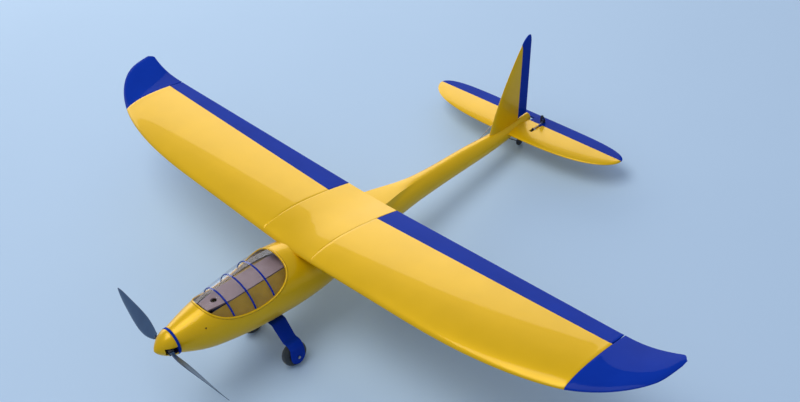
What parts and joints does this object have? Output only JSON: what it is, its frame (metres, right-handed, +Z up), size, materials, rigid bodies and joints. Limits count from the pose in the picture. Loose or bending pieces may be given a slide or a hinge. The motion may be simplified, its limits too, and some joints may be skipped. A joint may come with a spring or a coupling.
{
  "type": "rc glider",
  "caption": "Radio-controlled electric glider with long tapered wings, clear canopy, folding propeller, tail surfaces on hinges and a taildragger undercarriage.",
  "frame": {"origin": "on the floor, under the middle of the model's overall box", "axes": "+X along the span to the left wing tip, +Y to the tail, +Z up; the model stands on its three wheels, nose up about 8 degrees"},
  "size_m": [1.451, 0.9926, 0.2461],
  "materials": {
    "yellow_gelcoat": "gloss",
    "blue_gelcoat": "gloss",
    "clear_canopy": "clear",
    "black_plastic": "satin",
    "slate_blade": "satin",
    "tyre_rubber": "matte",
    "hub_plastic": "gloss",
    "aluminium": "machined",
    "steel_wire": "polished",
    "black_wire": "satin",
    "plywood": "matte",
    "tray_film": "satin",
    "strap_fabric": "woven",
    "battery_wrap": "gloss",
    "servo_case": "matte",
    "carbon_rod": "satin",
    "nylon_bolt": "satin"
  },
  "bodies": {
    "airframe": {"wing_centre": "yellow_gelcoat", "wing_joiner": "carbon_rod", "left_wing_panel": "yellow_gelcoat", "right_wing_panel": "yellow_gelcoat", "left_wing_tip": "blue_gelcoat", "right_wing_tip": "blue_gelcoat", "aileron_servos": "servo_case", "servo_covers": "yellow_gelcoat", "hinge_pins": "steel_wire", "fuselage_shell": "yellow_gelcoat", "tailplane": "yellow_gelcoat", "elevator_servo": "servo_case", "fin": "yellow_gelcoat", "rudder_servo": "servo_case", "servo_tray": "plywood", "firewall": "plywood", "motor_screws": "steel_wire", "motor_stator": "aluminium", "main_gear_bow": "blue_gelcoat", "gear_screws": "steel_wire", "gear_plate": "plywood", "wheel_axles": "steel_wire", "tail_wheel_wire": "black_wire", "equipment_tray": "tray_film", "battery": "battery_wrap", "battery_strap": "strap_fabric", "battery_floor": "plywood", "speed_controller": "black_plastic", "wing_bearers": "plywood", "wing_bolts": "nylon_bolt"},
    "rotor": {"spinner": "yellow_gelcoat", "spinner_backplate": "blue_gelcoat", "blade_yoke": "black_plastic", "blade_pins": "steel_wire", "motor_bell": "aluminium", "motor_shaft": "steel_wire"},
    "left_blade": {"left_blade": "slate_blade"},
    "right_blade": {"right_blade": "slate_blade"},
    "canopy": {"canopy_glass": "clear_canopy", "canopy_frame": "yellow_gelcoat", "canopy_hoops": "blue_gelcoat"},
    "left_aileron": {"left_aileron": "blue_gelcoat"},
    "right_aileron": {"right_aileron": "blue_gelcoat"},
    "left_aileron_servo_arm": {"left_aileron_servo_arm": "black_plastic"},
    "right_aileron_servo_arm": {"right_aileron_servo_arm": "black_plastic"},
    "left_aileron_pushrod": {"left_aileron_pushrod": "steel_wire"},
    "right_aileron_pushrod": {"right_aileron_pushrod": "steel_wire"},
    "elevator": {"elevator": "blue_gelcoat", "elevator_horn": "black_plastic"},
    "elevator_servo_arm": {"elevator_servo_arm": "black_plastic"},
    "elevator_pushrod": {"elevator_pushrod": "steel_wire"},
    "rudder": {"rudder": "blue_gelcoat", "rudder_horn": "black_plastic"},
    "rudder_servo_arm": {"rudder_servo_arm": "black_plastic"},
    "rudder_pushrod": {"rudder_pushrod": "steel_wire"},
    "left_wheel": {"left_tyre": "tyre_rubber", "left_wheel_hub": "hub_plastic"},
    "right_wheel": {"right_tyre": "tyre_rubber", "right_wheel_hub": "hub_plastic"},
    "tail_wheel": {"tail_wheel": "tyre_rubber"}
  },
  "joints": [
    {"name": "rotor_spin", "type": "hinge", "parent": "airframe", "child": "rotor", "pos_m": [0, -0.47487, 0.1843], "axis": [0, 0.9902, -0.1396], "continuous": true},
    {"name": "left_blade_fold", "type": "hinge", "parent": "rotor", "child": "left_blade", "pos_m": [0.01835, -0.4752, 0.18194], "axis": [0.1288, 0.1385, 0.982], "range_deg": [0, 34]},
    {"name": "right_blade_fold", "type": "hinge", "parent": "rotor", "child": "right_blade", "pos_m": [-0.01835, -0.47454, 0.18666], "axis": [-0.1288, -0.1385, -0.982], "range_deg": [0, 34]},
    {"name": "canopy_lift", "type": "slide", "parent": "airframe", "child": "canopy", "axis": [0, 0.1396, 0.9902], "range_m": [0, 0.12]},
    {"name": "left_aileron_hinge", "type": "hinge", "parent": "airframe", "child": "left_aileron", "pos_m": [0.069, -0.03478, 0.1683], "axis": [0.9975, 0.0014, 0.0705], "range_deg": [-20, 20]},
    {"name": "left_aileron_servo_turn", "type": "hinge", "parent": "airframe", "child": "left_aileron_servo_arm", "pos_m": [0.33, -0.08, 0.1929], "axis": [0.9975, 0.0014, 0.0705], "range_deg": [-21, 21]},
    {"name": "left_aileron_pushrod_turn", "type": "hinge", "parent": "left_aileron_servo_arm", "child": "left_aileron_pushrod", "pos_m": [0.33, -0.0821, 0.17805], "axis": [0.9975, 0.0014, 0.0705], "range_deg": [-21, 21]},
    {"name": "right_aileron_hinge", "type": "hinge", "parent": "airframe", "child": "right_aileron", "pos_m": [-0.069, -0.03478, 0.1683], "axis": [0.9975, -0.0014, -0.0705], "range_deg": [-20, 20]},
    {"name": "right_aileron_servo_turn", "type": "hinge", "parent": "airframe", "child": "right_aileron_servo_arm", "pos_m": [-0.33, -0.08, 0.1929], "axis": [0.9975, -0.0014, -0.0705], "range_deg": [-21, 21]},
    {"name": "right_aileron_pushrod_turn", "type": "hinge", "parent": "right_aileron_servo_arm", "child": "right_aileron_pushrod", "pos_m": [-0.33, -0.0821, 0.17805], "axis": [0.9975, -0.0014, -0.0705], "range_deg": [-21, 21]},
    {"name": "elevator_hinge", "type": "hinge", "parent": "airframe", "child": "elevator", "pos_m": [0, 0.44779, 0.05267], "axis": [1, 0, 0], "range_deg": [-15, 15]},
    {"name": "elevator_servo_turn", "type": "hinge", "parent": "airframe", "child": "elevator_servo_arm", "pos_m": [0.044, 0.41992, 0.05559], "axis": [1, 0, 0], "range_deg": [-23, 23]},
    {"name": "elevator_pushrod_turn", "type": "hinge", "parent": "elevator_servo_arm", "child": "elevator_pushrod", "pos_m": [0.044, 0.42093, 0.06271], "axis": [1, 0, 0], "range_deg": [-23, 23]},
    {"name": "rudder_hinge", "type": "hinge", "parent": "airframe", "child": "rudder", "pos_m": [0, 0.42434, 0.07112], "axis": [0, 0.2616, 0.9652], "range_deg": [-20, 20]},
    {"name": "rudder_servo_turn", "type": "hinge", "parent": "airframe", "child": "rudder_servo_arm", "pos_m": [0, -0.06205, 0.11821], "axis": [0, 0.1396, 0.9902], "range_deg": [-21, 21]},
    {"name": "rudder_pushrod_slide", "type": "slide", "parent": "airframe", "child": "rudder_pushrod", "axis": [0, 0.9902, -0.1396], "range_m": [-0.0046, 0.0046]},
    {"name": "left_wheel_spin", "type": "hinge", "parent": "airframe", "child": "left_wheel", "pos_m": [0.065, -0.28621, 0.0254], "axis": [1, 0, 0], "continuous": true},
    {"name": "right_wheel_spin", "type": "hinge", "parent": "airframe", "child": "right_wheel", "pos_m": [-0.065, -0.28621, 0.0254], "axis": [1, 0, 0], "continuous": true},
    {"name": "tail_wheel_spin", "type": "hinge", "parent": "airframe", "child": "tail_wheel", "pos_m": [0, 0.41941, 0.009], "axis": [1, 0, 0], "continuous": true}
  ],
  "couplings": [
    {"joint": "left_aileron_servo_turn", "follows": "left_aileron_hinge", "ratio": 1},
    {"joint": "left_aileron_pushrod_turn", "follows": "left_aileron_hinge", "ratio": -1},
    {"joint": "right_aileron_servo_turn", "follows": "right_aileron_hinge", "ratio": 1},
    {"joint": "right_aileron_pushrod_turn", "follows": "right_aileron_hinge", "ratio": -1},
    {"joint": "elevator_servo_turn", "follows": "elevator_hinge", "ratio": 1.4444},
    {"joint": "elevator_pushrod_turn", "follows": "elevator_hinge", "ratio": -1.4444},
    {"joint": "rudder_servo_turn", "follows": "rudder_hinge", "ratio": 1},
    {"joint": "rudder_pushrod_slide", "follows": "rudder_hinge", "m_per_rad": -0.012}
  ]
}
